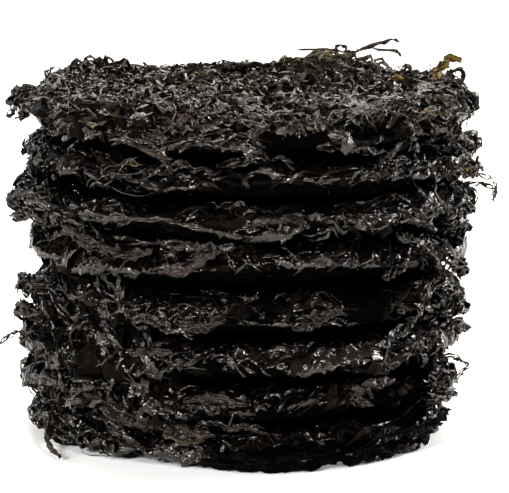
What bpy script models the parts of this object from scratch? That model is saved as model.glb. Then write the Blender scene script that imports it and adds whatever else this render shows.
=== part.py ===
"""A stack of eight round cakes of dried laver, the seaweed that nori is made of.

Each cake is a matted disc of crumpled fronds that was spread wet in a round mould and dried. A cake is
one solid: a core turned from a profile and roughened by noise, with the larger fronds fused to its rim.
The cakes lie on each other in the middle and stand apart at the rim. Metres, +Z up, with the origin
under the middle of the stack, on the surface that it stands on.
"""

import math
import random

import bmesh
import bpy
from mathutils import Vector, noise

MM = 0.001

# The stack
CONTACT_GAP = 0.3 * MM  # left between two cakes where they touch
# Each cake from the bottom up: its radius, and how far it has slipped to the right and to the back
CAKES = (
    (92.5 * MM, -3.0 * MM, -2.0 * MM),
    (97.0 * MM, -4.0 * MM, 0.5 * MM),
    (98.5 * MM, -2.0 * MM, -1.0 * MM),
    (94.5 * MM, 0.5 * MM, 1.5 * MM),
    (97.0 * MM, 0.0 * MM, -1.5 * MM),
    (101.5 * MM, -1.0 * MM, 0.5 * MM),
    (99.5 * MM, 1.5 * MM, -1.0 * MM),
    (97.5 * MM, 2.0 * MM, 0.0 * MM),
)
TOP_CAKE = len(CAKES) - 1
# The heights between which each cake lies in the middle of the stack
LEVELS = (0.0 * MM, 16.9 * MM, 36.0 * MM, 54.6 * MM, 76.4 * MM, 96.4 * MM, 114.6 * MM, 132.4 * MM, 152.8 * MM)
# How far each cake's rim is bent up at the right, back, left and front
RIM_BENDS = (
    (0.5 * MM, 0.5 * MM, 0.5 * MM, -1.2 * MM),
    (1.0 * MM, 0.0 * MM, 0.0 * MM, -0.5 * MM),
    (1.0 * MM, 0.0 * MM, 0.5 * MM, -0.5 * MM),
    (0.0 * MM, -0.3 * MM, 0.0 * MM, -1.0 * MM),
    (-1.5 * MM, -0.6 * MM, 1.5 * MM, 0.0 * MM),
    (-1.5 * MM, -0.9 * MM, 2.5 * MM, -0.5 * MM),
    (1.5 * MM, -1.2 * MM, 2.0 * MM, -2.0 * MM),
    (4.0 * MM, -1.4 * MM, 4.0 * MM, -2.2 * MM),
)

# A cake's rim, seen in section
CONTACT_INSET = 19 * MM  # from the outline in to where the cakes touch
SHOULDER_DROP = 3.6 * MM  # the rim's upper edge lies this far under the cake's top plane
SHOULDER_INSET = 5.5 * MM
LIP_HEIGHT = 5 * MM  # the widest level, above the cake's underside
LIP_LIFT = 1.6 * MM  # the rim's lower edge, above the cake's underside
TURN_STEPS = 32

# Unevenness
OUTLINE_SWELL = 3.2 * MM  # how far the outline leaves a circle
RIM_SAG = 0.9 * MM  # how far a rim droops or lifts on its way round, besides its bend
CRAG = 1.3 * MM  # knobs on the rim
TOP_RELIEF = 2.4 * MM  # bumps on the stack's top

# Fronds that show. A pair holds the least and the most that a random draw gives
FROND_THICKNESS = 0.8 * MM
FROND_CELLS = 5  # cells along a frond, one across
FROND_HALF_WIDTH = (2.4 * MM, 3.8 * MM)
FROND_RUFFLE = 0.7 * MM
RIM_FRONDS = 13
RIM_FROND_HALF_LENGTH = (11 * MM, 19 * MM)
RIM_FROND_SLOPE = (-1.8 * MM, 1.8 * MM)
RIM_FROND_STAND_OFF = 1.2 * MM  # of its middle
RIM_FROND_FREE_END = (1.5 * MM, 4.5 * MM)
RIM_FROND_TUCK = 2.2 * MM  # how deep the other end goes in
RIM_FROND_MARGIN = 4.1 * MM  # from a frond's middle line to the rim's upper and lower edge
TOP_FRONDS = 16
TOP_FROND_HALF_LENGTH = (9 * MM, 15 * MM)
TOP_FROND_ARCH = 2.2 * MM
SEED = 5

LAVER_COLOUR = (0.012, 0.010, 0.009, 1.0)  # linear: nearly black, a little warm
LAVER_ROUGHNESS = 0.38
SHARP_EDGE = math.radians(40)  # steeper edges than this are drawn sharp

# Ends that stand clear of the stack: the cake that they grow from, their width, and their route
LOOSE_ENDS = (
    ("amber_frond", TOP_CAKE, 5.0 * MM, ((80, 22, 148), (88, 26, 153), (90, 27, 161), (96, 25, 165))),
    ("right_curl", TOP_CAKE, 3.0 * MM, ((84, 2, 146), (95, 4, 150), (97, 3, 158), (92, 2, 160))),
    ("back_twig", TOP_CAKE, 2.0 * MM, ((28, 84, 149), (44, 88, 155), (56, 87, 159), (68, 84, 164))),
    ("back_fork", TOP_CAKE, 2.0 * MM, ((38, 76, 149), (52, 84, 155), (62, 88, 158), (71, 85, 155))),
    ("left_curl", TOP_CAKE, 4.5 * MM, ((-84, 0, 148), (-96, -2, 151), (-103, -1, 148), (-99, 1, 144))),
    ("right_loop", 5, 2.0 * MM, ((88, -2, 104), (101, -3, 110), (111, -4, 108), (108, -6, 102))),
    ("left_strand", 2, 1.8 * MM, ((-86, -6, 46), (-97, -9, 46), (-104, -14, 43), (-110, -18, 39))),
    ("low_curl", 1, 1.8 * MM, ((84, -6, 32), (94, -10, 33), (99, -12, 29), (92, -10, 23))),
    ("trailing_strand", 0, 2.2 * MM, ((-76, -36, 12), (-86, -45, 9), (-86, -60, 4.5), (-79, -76, 1.6))),
)


def clear_scene():
    for thing in list(bpy.data.objects):
        bpy.data.objects.remove(thing)


def laver_material():
    material = bpy.data.materials.new("dried_laver")
    material.use_nodes = True
    shader = material.node_tree.nodes["Principled BSDF"]
    shader.inputs["Base Color"].default_value = LAVER_COLOUR
    shader.inputs["Roughness"].default_value = LAVER_ROUGHNESS
    shader.inputs["Metallic"].default_value = 0.0
    return material


def smooth_step(low, high, value):
    share = min(1.0, max(0.0, (value - low) / (high - low)))
    return share * share * (3 - 2 * share)


def around(angle, turns, layer):
    """Noise from -1 to 1 that closes on itself round a cake, with about 'turns' swells each quarter."""
    return noise.noise(Vector((turns * math.cos(angle), turns * math.sin(angle), layer)))


def outline_radius(cake, angle):
    swell = 0.7 * around(angle, 1.3, 9.1 * cake + 0.5) + 0.5 * around(angle, 3.4, 5.7 * cake + 40.5)
    return CAKES[cake][0] + 2 * OUTLINE_SWELL * swell


def rim_lift(cake, angle):
    """How far the rim is bent up there, or down where negative. The bottom cake's sag only lifts it."""
    sag = max(-RIM_SAG, min(RIM_SAG, 1.6 * RIM_SAG * around(angle, 1.1, 4.3 * cake + 80.5)))
    side, share = divmod(angle / (math.pi / 2) % 4, 1)
    start, end = RIM_BENDS[cake][int(side) % 4], RIM_BENDS[cake][(int(side) + 1) % 4]
    bend = start + (end - start) * smooth_step(0, 1, share)
    return bend + (abs(sag) if cake == 0 else sag)


def top_swell(x, y):
    """The height of the bumps on the stack's top, over its mean plane."""
    broad = noise.noise(Vector((x, y, 0)) / (38 * MM))
    small = noise.noise(Vector((x, y, 9)) / (15 * MM))
    return TOP_RELIEF * (broad + 0.5 * small)


def shoulder_height(cake):
    """The height of the rim's upper edge above the cake's underside."""
    return LEVELS[cake + 1] - LEVELS[cake] - SHOULDER_DROP


def core_profile(cake):
    """Half of a cake's section, from the middle of its top out round the rim to the middle of its foot."""
    radius = CAKES[cake][0]
    base = LEVELS[cake]
    foot = base if cake == 0 else base + CONTACT_GAP / 2
    top = LEVELS[cake + 1] - CONTACT_GAP / 2
    contact = radius - CONTACT_INSET
    shown_rings = (0.25, 0.5, 0.75) if cake == TOP_CAKE else ()
    return [
        (0, top),
        *((share * contact, top) for share in shown_rings),
        (contact, top),
        (radius - 2 * SHOULDER_INSET, top - 0.5 * SHOULDER_DROP),
        (radius - SHOULDER_INSET, top - SHOULDER_DROP),
        (radius - 0.3 * SHOULDER_INSET, 0.5 * (base + LIP_HEIGHT + top - SHOULDER_DROP)),
        (radius, base + LIP_HEIGHT),
        (radius - 0.35 * SHOULDER_INSET, base + LIP_LIFT + 0.8 * MM),
        (radius - 1.3 * SHOULDER_INSET, base + LIP_LIFT),
        (contact + 0.2 * CONTACT_INSET, foot),
        (0, foot),
    ]


def turned(name, profile):
    """The solid that the profile sweeps when it turns round the Z axis."""
    line = bpy.data.meshes.new(name)
    points = [(r, 0, z) for r, z in profile]
    line.from_pydata(points, [(i, i + 1) for i in range(len(points) - 1)], [])
    body = bpy.data.objects.new(name, line)
    bpy.context.scene.collection.objects.link(body)
    screw = body.modifiers.new("turn", "SCREW")
    screw.steps = screw.render_steps = TURN_STEPS
    screw.use_merge_vertices = True
    screw.merge_threshold = 0.1 * MM
    apply_modifiers(body)
    return body


def apply_modifiers(body):
    bpy.context.view_layer.update()
    graph = bpy.context.evaluated_depsgraph_get()
    made = bpy.data.meshes.new_from_object(body.evaluated_get(graph))
    plain = body.data
    body.modifiers.clear()
    body.data = made
    bpy.data.meshes.remove(plain)


def roughen(body, cake):
    """Turns the round core into an uneven cake: a swelling outline, a sagging rim with knobs, a bumpy top."""
    radius, slip_x, slip_y = CAKES[cake]
    contact = radius - CONTACT_INSET
    top_plane = LEVELS[cake + 1] - CONTACT_GAP
    for vertex in body.data.vertices:
        x, y, z = vertex.co
        reach = math.hypot(x, y)
        angle = math.atan2(y, x)
        at_rim = smooth_step(contact + 0.5 * MM, radius - SHOULDER_INSET, reach)
        grown = reach * (1 + at_rim * (outline_radius(cake, angle) / radius - 1))
        knob = CRAG * noise.noise(Vector((x, y, z)) / (7 * MM) + Vector((0, 0, 3.3 * cake)))
        grown += at_rim * knob
        vertex.co.x = grown * math.cos(angle) + slip_x
        vertex.co.y = grown * math.sin(angle) + slip_y
        vertex.co.z += at_rim * rim_lift(cake, angle)
        if cake == TOP_CAKE and z > top_plane - 2 * SHOULDER_DROP:
            vertex.co.z += top_swell(x, y)


def frond(name, cells, place):
    """A thin wavy leaf: a grid whose point (u, v), each from -1 to 1, goes where place(u, v) says."""
    mesh = bpy.data.meshes.new(name)
    grid = bmesh.new()
    bmesh.ops.create_grid(grid, x_segments=cells, y_segments=1, size=1)
    bmesh.ops.triangulate(grid, faces=grid.faces[:])
    for vertex in grid.verts:
        vertex.co = place(vertex.co.x, vertex.co.y)
    grid.to_mesh(mesh)
    grid.free()
    leaf = bpy.data.objects.new(name, mesh)
    thickness = leaf.modifiers.new("thickness", "SOLIDIFY")
    thickness.thickness = FROND_THICKNESS
    thickness.offset = 0
    return leaf


def rim_point(cake, angle, height, out):
    """A point at that height above the cake's underside, 'out' beyond the surface of its rim."""
    rise = max(0.0, height - LIP_HEIGHT) / (shoulder_height(cake) - LIP_HEIGHT)
    reach = outline_radius(cake, angle) - SHOULDER_INSET * rise**2 + out
    x = reach * math.cos(angle) + CAKES[cake][1]
    y = reach * math.sin(angle) + CAKES[cake][2]
    return Vector((x, y, LEVELS[cake] + height + rim_lift(cake, angle)))


def rim_frond(cake, index, draw):
    """A frond that lies along the rim with one end tucked in and the other lifting off."""
    middle = 2 * math.pi * (index + draw.uniform(-0.3, 0.3)) / RIM_FRONDS
    half_span = draw.uniform(*RIM_FROND_HALF_LENGTH) / CAKES[cake][0]
    half_width = draw.uniform(*FROND_HALF_WIDTH)
    height = draw.uniform(LIP_LIFT + RIM_FROND_MARGIN, shoulder_height(cake) - RIM_FROND_MARGIN)
    slope = draw.uniform(*RIM_FROND_SLOPE)
    free_end = draw.choice((-1, 1))
    lift = draw.uniform(*RIM_FROND_FREE_END)

    def place(u, v):
        taper = 1 - 0.55 * u * u
        out = RIM_FROND_STAND_OFF + lift * max(0.0, u * free_end) ** 3
        out -= RIM_FROND_TUCK * max(0.0, -u * free_end) ** 2
        out += FROND_RUFFLE * v * math.sin(4 * u + index)
        return rim_point(cake, middle + half_span * u, height + slope * u + half_width * taper * v, out)

    return frond(f"rim_frond_{cake}_{index}", FROND_CELLS, place)


def top_frond(index, draw):
    """A frond that lies on the top of the stack: these follow a sunflower's spiral, each turned at random."""
    golden = math.pi * (3 - math.sqrt(5))
    reach = (CAKES[TOP_CAKE][0] - CONTACT_INSET) * math.sqrt((index + 0.5) / TOP_FRONDS)
    centre = Vector((reach * math.cos(golden * index), reach * math.sin(golden * index), 0))
    heading = draw.uniform(0, math.pi)
    along = Vector((math.cos(heading), math.sin(heading), 0))
    across = Vector((-along.y, along.x, 0))
    half_length = draw.uniform(*TOP_FROND_HALF_LENGTH)
    half_width = draw.uniform(*FROND_HALF_WIDTH)

    def place(u, v):
        spot = centre + half_length * u * along + half_width * (1 - 0.5 * u * u) * v * across
        bulge = TOP_FROND_ARCH * (0.5 - u * u) + FROND_RUFFLE * v * math.sin(3 * u + index)
        spot.z = LEVELS[-1] + top_swell(spot.x, spot.y) + bulge
        return spot

    return frond(f"top_frond_{index}", FROND_CELLS, place)


def along_route(route, share):
    """The point at that share of the way along a smooth curve through the route's points."""
    points = [Vector(point) * MM for point in route]
    points = [2 * points[0] - points[1], *points, 2 * points[-1] - points[-2]]
    spans = len(points) - 3
    span = min(int(share * spans), spans - 1)
    t = share * spans - span
    before, start, end, after = points[span : span + 4]
    bend = 2 * before - 5 * start + 4 * end - after
    close = -before + 3 * start - 3 * end + after
    return 0.5 * (2 * start + (end - before) * t + bend * t * t + close * t**3)


def loose_end(name, cake, width, route):
    """A frond or stem that runs out of its cake along the route and narrows towards its tip."""
    step = 0.02
    middle = Vector((CAKES[cake][1], CAKES[cake][2], 0))

    def place(u, v):
        share = (u + 1) / 2
        spot = along_route(route, share)
        heading = along_route(route, min(1, share + step)) - along_route(route, max(0, share - step))
        outward = Vector((spot.x - middle.x, spot.y - middle.y, 0)).normalized()
        across = heading.cross(outward)
        if across.length < 0.3 * heading.length:
            across = heading.cross(Vector((0, 0, 1)))
        return spot + across.normalized() * (0.5 * width * (1 - 0.5 * share) * v)

    return frond(name, 2 * FROND_CELLS - 2, place)


def keep_largest_shell(body):
    """Drops what a join leaves beside the cake's own surface: scraps, and the walls of sealed hollows."""
    mesh = bmesh.new()
    mesh.from_mesh(body.data)
    left = set(mesh.faces)
    largest = set()
    while left:
        reached = [left.pop()]
        shell = set(reached)
        while reached:
            near = {face for edge in reached.pop().edges for face in edge.link_faces} - shell
            shell |= near
            reached += near
        left -= shell
        largest = max(largest, shell, key=len)
    bmesh.ops.delete(mesh, geom=[face for face in mesh.faces if face not in largest], context="FACES")
    mesh.to_mesh(body.data)
    mesh.free()


def fuse(body, leaves):
    """Joins the fronds to the core in one union, and removes them."""
    holder = bpy.data.collections.new("fronds")
    bpy.context.scene.collection.children.link(holder)
    for leaf in leaves:
        holder.objects.link(leaf)
    join = body.modifiers.new("fuse", "BOOLEAN")
    join.operation = "UNION"
    join.operand_type = "COLLECTION"
    join.collection = holder
    join.solver = "MANIFOLD"
    apply_modifiers(body)
    keep_largest_shell(body)
    for leaf in leaves:
        bpy.data.objects.remove(leaf)
    bpy.data.collections.remove(holder)


def make_cake(cake, material, stack):
    body = turned(f"cake_{cake + 1}", core_profile(cake))
    bpy.context.scene.collection.objects.unlink(body)
    stack.objects.link(body)
    roughen(body, cake)
    draw = random.Random(SEED + cake)
    leaves = [rim_frond(cake, index, draw) for index in range(RIM_FRONDS)]
    if cake == TOP_CAKE:
        leaves += [top_frond(index, draw) for index in range(TOP_FRONDS)]
    leaves += [loose_end(name, grown_from, width, route)
               for name, grown_from, width, route in LOOSE_ENDS if grown_from == cake]
    fuse(body, leaves)
    body.data.materials.clear()
    body.data.materials.append(material)
    body.data.shade_smooth()
    body.data.set_sharp_from_angle(angle=SHARP_EDGE)


clear_scene()
nori_stack = bpy.data.collections.new("dried_nori_stack")
bpy.context.scene.collection.children.link(nori_stack)
laver = laver_material()
for number in range(len(CAKES)):
    make_cake(number, laver, nori_stack)
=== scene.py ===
import math

import bpy
import numpy as np
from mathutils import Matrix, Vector
from mathutils.bvhtree import BVHTree


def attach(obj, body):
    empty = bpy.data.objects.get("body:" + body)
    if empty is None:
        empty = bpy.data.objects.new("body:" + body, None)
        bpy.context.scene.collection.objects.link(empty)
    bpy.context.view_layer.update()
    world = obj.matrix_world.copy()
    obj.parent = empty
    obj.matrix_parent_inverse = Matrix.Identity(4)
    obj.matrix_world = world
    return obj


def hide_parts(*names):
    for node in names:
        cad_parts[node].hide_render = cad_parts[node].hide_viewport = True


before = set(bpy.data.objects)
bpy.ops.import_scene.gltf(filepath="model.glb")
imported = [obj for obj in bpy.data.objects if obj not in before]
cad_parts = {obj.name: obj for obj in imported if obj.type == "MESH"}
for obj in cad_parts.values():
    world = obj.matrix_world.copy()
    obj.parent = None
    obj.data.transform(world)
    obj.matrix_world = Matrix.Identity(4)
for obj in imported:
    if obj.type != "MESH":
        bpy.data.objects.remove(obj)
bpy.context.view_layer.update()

# ------------------
# The camera. The photograph was taken with a long lens from a little above the top cake, square to the
# stack. Its frame is 509 by 493 pixels, and a pixel is 0.444 mm at the middle of the stack.
FRAME_PIXELS = 509
PIXEL = 0.444e-3
VIEW_DISTANCE = 1.65
VIEW_ELEVATION = math.radians(9.7)
AIM = Vector((0.0038, 0.0, 0.0805))


def new_object(name, data):
    made = bpy.data.objects.new(name, data)
    bpy.context.scene.collection.objects.link(made)
    return made


camera_data = bpy.data.cameras.new("camera")
camera_data.sensor_fit = "HORIZONTAL"
camera_data.lens = camera_data.sensor_width * VIEW_DISTANCE / (FRAME_PIXELS * PIXEL)
camera = new_object("camera", camera_data)
view_from = Vector((0.0, -math.cos(VIEW_ELEVATION), math.sin(VIEW_ELEVATION)))
camera.location = AIM + VIEW_DISTANCE * view_from
camera.rotation_euler = (math.pi / 2 - VIEW_ELEVATION, 0.0, 0.0)
bpy.context.scene.camera = camera

# ------------------
# The matted cores. Inside, a cake is a felt of fronds pressed together when wet, matt and nearly black.
# Each core is a copy of its solid, remeshed and smoothed so that the fronds can be laid on it, and then
# crumpled. The part of it that shows is what lies in the deep gaps between the fronds, black there as painted
# shade.
CAKES = 8
MM = 1e-3
CORE_MERGE = 0.01 * MM
CORE_VOXEL = 3.2 * MM  # coarse enough to lose the solid's own fronds
CORE_SMOOTHING = 8  # rounds
CORE_INSET = 2.2 * MM  # the smooth core is drawn in this far, so that the fronds bring it back to size
CORE_SUNK = 1.8 * MM  # and the felt this much further, so that it shows only in the gaps
CORE_CRUMPLES = ((12 * MM, 3.0 * MM), (6 * MM, 1.6 * MM))  # length of a fold, and its depth
CRUMPLE_LEVEL = 0.6  # where the folds' noise has this value, the felt stays where it is
FOLD_SQUEEZE = 0.45  # a fold is this much shorter up and down than along
FELT_GRAINS = 700.0  # in a metre, so each is about 1.4 mm, coarser than real so that it shows
FELT_BUMP = 0.6 * MM


def hex_colour(code):
    """The linear colour of an sRGB hex code."""
    parts = [int(code[i:i + 2], 16) / 255 for i in (1, 3, 5)]
    return tuple(p / 12.92 if p <= 0.04045 else ((p + 0.055) / 1.055) ** 2.4 for p in parts) + (1.0,)


def add_node(material, kind, links=None, **settings):
    """Adds a shader node, sets its properties and its sockets' values, and links sockets that are given."""
    node = material.node_tree.nodes.new("ShaderNode" + kind)
    for name, value in settings.items():
        setattr(node, name, value)
    for socket, source in (links or {}).items():
        if isinstance(source, bpy.types.NodeSocket):
            material.node_tree.links.new(source, node.inputs[socket])
        else:
            node.inputs[socket].default_value = source
    return node


def new_material(name):
    material = bpy.data.materials.new(name)
    material.use_nodes = True
    material.node_tree.nodes.clear()
    return material


def finish_surface(material, **sockets):
    """The Principled shader with those sockets, and the output."""
    named = {name.replace("_", " "): value for name, value in sockets.items()}
    shader = add_node(material, "BsdfPrincipled", named)
    add_node(material, "OutputMaterial", {"Surface": shader.outputs[0]})


# Felted laver: pressed while wet and air-dried, matt, black with a breath of brown. It reflects no light at
# all, so where it shows in the gaps it is painted shade as well as the laver's own dark.
felt = new_material("felted_laver_dark_painted_shade")
place = add_node(felt, "TexCoord").outputs["Object"]
grain = add_node(felt, "TexNoise", {"Vector": place, "Scale": FELT_GRAINS, "Detail": 4.0})
bump = add_node(felt, "Bump", {"Strength": 0.9, "Distance": FELT_BUMP, "Height": grain.outputs[0]})
finish_surface(felt, Base_Color=hex_colour("#020202"), Roughness=0.8, Specular_IOR_Level=0.0,
               Normal=bump.outputs[0])


def add_modifier(piece, kind, **settings):
    modifier = piece.modifiers.new(kind.lower(), kind)
    for name, value in settings.items():
        setattr(modifier, name, value)


def apply_all(piece):
    bpy.context.view_layer.objects.active = piece
    for modifier in list(piece.modifiers):
        bpy.ops.object.modifier_apply(modifier=modifier.name)


def keep_largest(piece):
    """Drops the crumbs that the remesh leaves of the loose ends."""
    bpy.ops.object.mode_set(mode="EDIT")
    bpy.ops.mesh.separate(type="LOOSE")
    bpy.ops.object.mode_set(mode="OBJECT")
    parts = sorted(bpy.context.selected_objects, key=lambda part: len(part.data.vertices))
    piece.data = parts[-1].data
    for part in parts:
        if part != piece:
            bpy.data.objects.remove(part)


def crumple_texture(size):
    texture = bpy.data.textures.new(f"creases_{size / MM:.0f}_mm", "MUSGRAVE")
    texture.musgrave_type = "RIDGED_MULTIFRACTAL"
    texture.noise_scale = size
    texture.noise_intensity = 1.0
    texture.octaves = 2.5
    return texture


creases = [(crumple_texture(size), depth) for size, depth in CORE_CRUMPLES]
squeeze = new_object("squeeze", None)
squeeze.scale = (1.0, 1.0, FOLD_SQUEEZE)
smooth_cores = []
cores = []
for number in range(1, CAKES + 1):
    core = new_object(f"laver_core_{number}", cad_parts[f"cake_{number}"].data.copy())
    bpy.ops.object.select_all(action="DESELECT")
    core.select_set(True)
    bpy.context.view_layer.objects.active = core
    bpy.ops.object.mode_set(mode="EDIT")
    bpy.ops.mesh.select_all(action="SELECT")
    bpy.ops.mesh.remove_doubles(threshold=CORE_MERGE)
    bpy.ops.object.mode_set(mode="OBJECT")
    add_modifier(core, "REMESH", mode="VOXEL", voxel_size=CORE_VOXEL)
    add_modifier(core, "SMOOTH", factor=0.5, iterations=CORE_SMOOTHING)
    add_modifier(core, "DISPLACE", strength=-CORE_INSET, mid_level=0.0)
    apply_all(core)
    keep_largest(core)
    smooth_cores.append(BVHTree.FromObject(core, bpy.context.evaluated_depsgraph_get()))
    add_modifier(core, "DISPLACE", strength=-CORE_SUNK, mid_level=0.0)
    for texture, depth in creases:
        add_modifier(core, "DISPLACE", texture=texture, texture_coords="OBJECT",
                     texture_coords_object=squeeze, strength=depth, mid_level=CRUMPLE_LEVEL)
    apply_all(core)
    core.data.materials.clear()
    core.data.materials.append(felt)
    core.data.shade_smooth()
    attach(core, "root")
    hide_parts(f"cake_{number}")
    cores.append(core)
bpy.data.objects.remove(squeeze)

# ------------------
# The fronds round the rims. A frond is a film a few hundredths of a millimetre thick, wrinkled and curled as
# it dried, and shows as a folded, ragged ribbon. They lie in bunches, mostly along the rim. Each is a
# closed sheet made from arrays: a strip that follows the rim's surface, rolled, curled and crumpled.
RIM_COLUMNS = 256
RIM_ROWS = 48
RIM_HUB = 25 * MM  # from the outline in to where the rim's section is measured from
HUB_HEIGHT = 9.5 * MM  # and how high that is over the cake's lowest point
RIM_TILT = 82  # degrees up and down between which it is measured
RIM_REACH = 60 * MM  # and how far out
SHEET = 0.16 * MM  # a frond's thickness, more than the real film's so that it survives export
SHARP_FROM = math.radians(65)


def mm(*values):
    return tuple(value * MM for value in values)


def spaced(points, at, steps):
    """So many points along a line of points, evenly by their marks."""
    marks = np.linspace(at[0], at[-1], steps)
    return np.stack([np.interp(marks, at, points[:, axis]) for axis in range(3)], -1)


def blurred(table, times, wrap):
    """The table smoothed along its first axis, which closes on itself if wrap is true, and its second."""
    for _ in range(times):
        for axis in (0, 1):
            margin = [(0, 0)] * 3
            margin[axis] = (1, 1)
            padded = np.pad(table, margin, "wrap" if wrap and axis == 0 else "edge")
            before, after = np.delete(padded, (-1, -2), axis), np.delete(padded, (0, 1), axis)
            table = (before + 2 * table + after) / 4
    return table


def normals_of(table, wrap):
    """Outward directions of a table of points."""
    if wrap:
        along = np.roll(table, -1, 0) - np.roll(table, 1, 0)
    else:
        along = np.gradient(table, axis=0)
    down = np.gradient(table, axis=1)
    normal = np.cross(down, along)
    return normal / np.linalg.norm(normal, axis=-1, keepdims=True)


def rim_guide(core, tree):
    """The rim as a table of points: columns go round it, and rows from its top over the lip to its foot."""
    corners = np.array([corner[:] for corner in core.bound_box])
    low, high = corners.min(0), corners.max(0)
    middle = (low + high) / 2
    hub = float((high - low)[:2].min()) / 2 - RIM_HUB
    table = np.empty((RIM_COLUMNS, RIM_ROWS, 3))
    tilts = np.radians(np.linspace(RIM_TILT, -RIM_TILT, 3 * RIM_ROWS))
    for column in range(RIM_COLUMNS):
        angle = 2 * math.pi * column / RIM_COLUMNS
        out = Vector((math.cos(angle), math.sin(angle), 0))
        start = Vector((*middle[:2], low[2] + HUB_HEIGHT)) + hub * out
        section = []
        for tilt in tilts:
            hit = tree.ray_cast(start, out * math.cos(tilt) + Vector((0, 0, math.sin(tilt))), RIM_REACH)[0]
            if hit:
                section.append(hit)
        section = np.array(section)
        run = np.concatenate([[0], np.cumsum(np.linalg.norm(np.diff(section, axis=0), axis=1))])
        table[column] = spaced(section, run, RIM_ROWS)
    table = blurred(table, 3, True)
    length = np.linalg.norm(np.diff(table, axis=1), axis=-1).sum(1).mean()
    lip = np.hypot(table[..., 0] - middle[0], table[..., 1] - middle[1]).mean(0).argmax()
    outline = np.linalg.norm(table[:, lip] - np.roll(table[:, lip], 1, 0), axis=-1).sum()
    return {"points": table, "normals": normals_of(table, True), "size": (outline, length), "wrap": True,
            "lip": lip * length / (RIM_ROWS - 1)}


def lay(guide, u, v):
    """Points and outward directions on a guide, u metres along it and v metres down it."""
    columns, rows = guide["points"].shape[:2]
    x = u / guide["size"][0] * (columns if guide["wrap"] else columns - 1)
    x = x % columns if guide["wrap"] else np.clip(x, 0, columns - 1.001)
    y = np.clip(v / guide["size"][1] * (rows - 1), 0, rows - 1.001)
    i, j = x.astype(int), y.astype(int)
    i_next = (i + 1) % columns if guide["wrap"] else i + 1
    fx, fy = (x - i)[..., None], (y - j)[..., None]
    found = []
    for table in (guide["points"], guide["normals"]):
        near = table[i, j] * (1 - fy) + table[i, j + 1] * fy
        far = table[i_next, j] * (1 - fy) + table[i_next, j + 1] * fy
        found.append(near * (1 - fx) + far * fx)
    return found


WAVE_PAIR = ((0.65, 1.0), (0.45, 2.3))  # the share of each wave in a curve, and its rate


def waves(draw, bunches, each, steps, turns, apart=0.07):
    """Smooth random curves from about -1 to 1, one along each frond. Those of one bunch are nearly alike."""
    t = np.linspace(0, 1, steps)
    total = 0
    for share, rate in WAVE_PAIR:
        speed = draw.uniform(0.6, 1.4, (bunches, 1, 1)) * turns * rate
        start = draw.uniform(0, 1, (bunches, 1, 1)) + draw.normal(0, apart, (bunches, each, 1))
        total = total + share * np.sin(2 * math.pi * (speed * t + start))
    return total.reshape(bunches * each, steps)


GLOSSY, MATT, SATIN = 0, 1, 2  # a frond's finishes


def closed_sheets(draw, top, length, half, tone, matt, satin):
    """Closes sheets given by their upper side, rows by columns of points: each gets a lower side.

    matt and satin are the shares of the sheets with those finishes. Returns the points, faces, places on the
    frond in millimetres, tones, and the faces' finishes.
    """
    count, rows, columns = top.shape[:3]
    facing = np.cross(np.gradient(top, axis=1), np.gradient(top, axis=2))
    facing /= np.linalg.norm(facing, axis=-1, keepdims=True) + 1e-12
    under = (top - SHEET * facing)[:, 1:-1, 1:-1]
    mine = np.concatenate([top.reshape(count, -1, 3), under.reshape(count, -1, 3)], axis=1)
    upper = np.arange(rows * columns).reshape(rows, columns)
    lower = upper.copy()
    lower[1:-1, 1:-1] = rows * columns + np.arange((rows - 2) * (columns - 2)).reshape(rows - 2, columns - 2)
    faces = np.concatenate([
        np.stack([upper[:-1, :-1], upper[1:, :-1], upper[1:, 1:], upper[:-1, 1:]], -1).reshape(-1, 4),
        np.stack([lower[:-1, :-1], lower[:-1, 1:], lower[1:, 1:], lower[1:, :-1]], -1).reshape(-1, 4)])
    faces = (faces[None] + mine.shape[1] * np.arange(count)[:, None, None]).reshape(-1, 4)
    spot = np.zeros((count, rows, columns, 3))
    spot[..., 0] = (np.linspace(0, 1, rows)[None, :] * length)[..., None] / MM
    spot[..., 1] = np.linspace(-1, 1, columns) * half / MM
    spot[..., 2] = draw.uniform(0, 100, (count, 1, 1))
    spots = np.concatenate([spot.reshape(count, -1, 3), spot[:, 1:-1, 1:-1].reshape(count, -1, 3)], axis=1)
    pick = draw.uniform(0, 1, count)
    finish = np.where(pick < matt, MATT, np.where(pick > 1 - satin, SATIN, GLOSSY))
    finish = np.repeat(finish, len(faces) // count)
    return mine.reshape(-1, 3), faces, spots.reshape(-1, 3), np.repeat(tone, mine.shape[1]), finish


# How long the waves along a frond are, in mm: those of its width, bow, lean, bend and height
WIDTH_WAVE, BOW_WAVE, LEAN_WAVE, BEND_WAVE, SWAY_WAVE = 14, 30, 28, 45, 22
FRILLS = ((1.0, 6.5), (0.5, 3.2))  # a frill's share of the height, and the length of its waves in mm
LEAST_BOW = 0.08


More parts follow.
